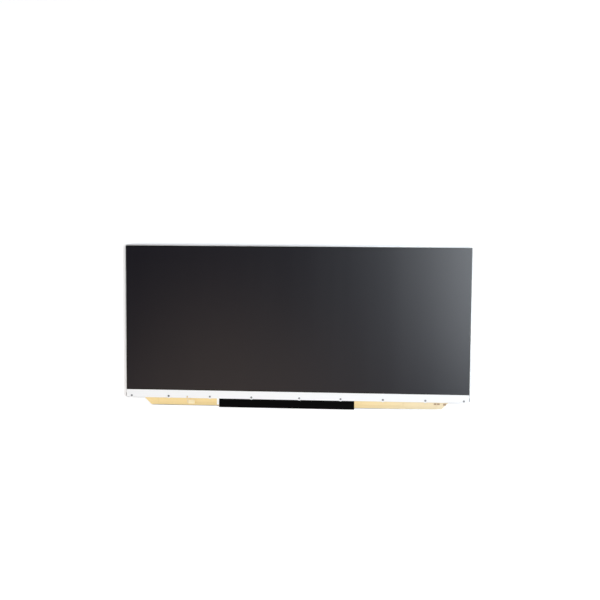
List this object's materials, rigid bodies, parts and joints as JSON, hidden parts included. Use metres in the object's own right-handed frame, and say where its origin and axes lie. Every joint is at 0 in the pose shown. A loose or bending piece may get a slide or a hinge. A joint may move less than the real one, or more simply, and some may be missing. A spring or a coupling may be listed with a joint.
{
  "type": "lcd panel",
  "caption": "Ultrawide edge-lit LCD module: dark screen, white screwed rail, source boards and stamped rear chassis.",
  "frame": {"origin": "centre of the picture area and of the four rear mounting holes, in the plane of the mounting faces", "axes": "+X to the right of the picture, +Y to its top, +Z out of the screen"},
  "size_m": [0.8106, 0.3841, 0.0164],
  "materials": {
    "chassis_steel": "galvanised sheet steel, fine spangle",
    "plated_steel": "nickel-plated steel",
    "white_film": "white satin polyester film",
    "light_guide": "clear acrylic sheet",
    "black_rubber": "matte black foam rubber",
    "white_resin": "white solder mask and resin",
    "phosphor": "yellow silicone",
    "aluminium": "extruded aluminium",
    "frame_plastic": "white moulded plastic, fine texture",
    "polarizer": "anti-glare film, charcoal",
    "cell_glass": "thin display glass",
    "white_paint": "satin white powder coat",
    "cream_board": "cream laminate with fine traces",
    "black_film": "black satin polyester sheet",
    "amber_film": "amber polyimide with copper traces",
    "chip_resin": "black moulding resin",
    "brown_ceramic": "tan moulded and ceramic parts",
    "socket_plastic": "ivory connector plastic",
    "white_cable": "white flat cable",
    "white_foam": "white foam strip",
    "lead_sheath": "pale lead sheath",
    "green_board": "green solder mask",
    "grey_pad": "soft thermal pad"
  },
  "bodies": {
    "root": {"back_chassis": "chassis_steel", "clinch_nuts": "plated_steel", "reflector_sheet": "white_film", "light_guide": "light_guide", "light_guide_pads": "black_rubber", "diffuser_sheet": "white_film", "prism_sheet": "white_film", "upper_diffuser": "white_film", "led_strip_board": "white_resin", "led_packages": "white_resin", "led_phosphors": "phosphor", "led_heat_sink": "aluminium", "middle_frame": "frame_plastic", "cell_tape": "black_rubber", "rear_polarizer": "polarizer", "array_glass": "cell_glass", "filter_glass": "cell_glass", "front_polarizer": "polarizer", "front_rail": "white_paint", "rail_screws": "plated_steel", "rail_posts": "plated_steel", "source_board_left": "cream_board", "source_board_right": "cream_board", "board_liner_left": "black_film", "board_liner_right": "black_film", "source_film_1": "amber_film", "source_film_2": "amber_film", "source_film_3": "amber_film", "source_film_4": "amber_film", "source_film_5": "amber_film", "source_film_6": "amber_film", "source_film_7": "amber_film", "source_film_8": "amber_film", "driver_chips": "chip_resin", "board_capacitors": "brown_ceramic", "moulded_capacitors": "brown_ceramic", "board_cable_sockets": "socket_plastic", "flat_cable_left": "white_cable", "flat_cable_right": "white_cable", "insulating_sheet": "black_film", "foam_strips": "white_foam", "backlight_socket": "socket_plastic", "backlight_lead": "lead_sheath", "timing_board": "green_board", "timing_controller": "chip_resin", "timing_chips": "chip_resin", "thermal_pad": "grey_pad", "timing_cable_sockets": "socket_plastic", "cable_latches": "chip_resin", "signal_socket": "plated_steel", "timing_cover": "chassis_steel", "timing_screws": "plated_steel"}
  },
  "joints": []
}
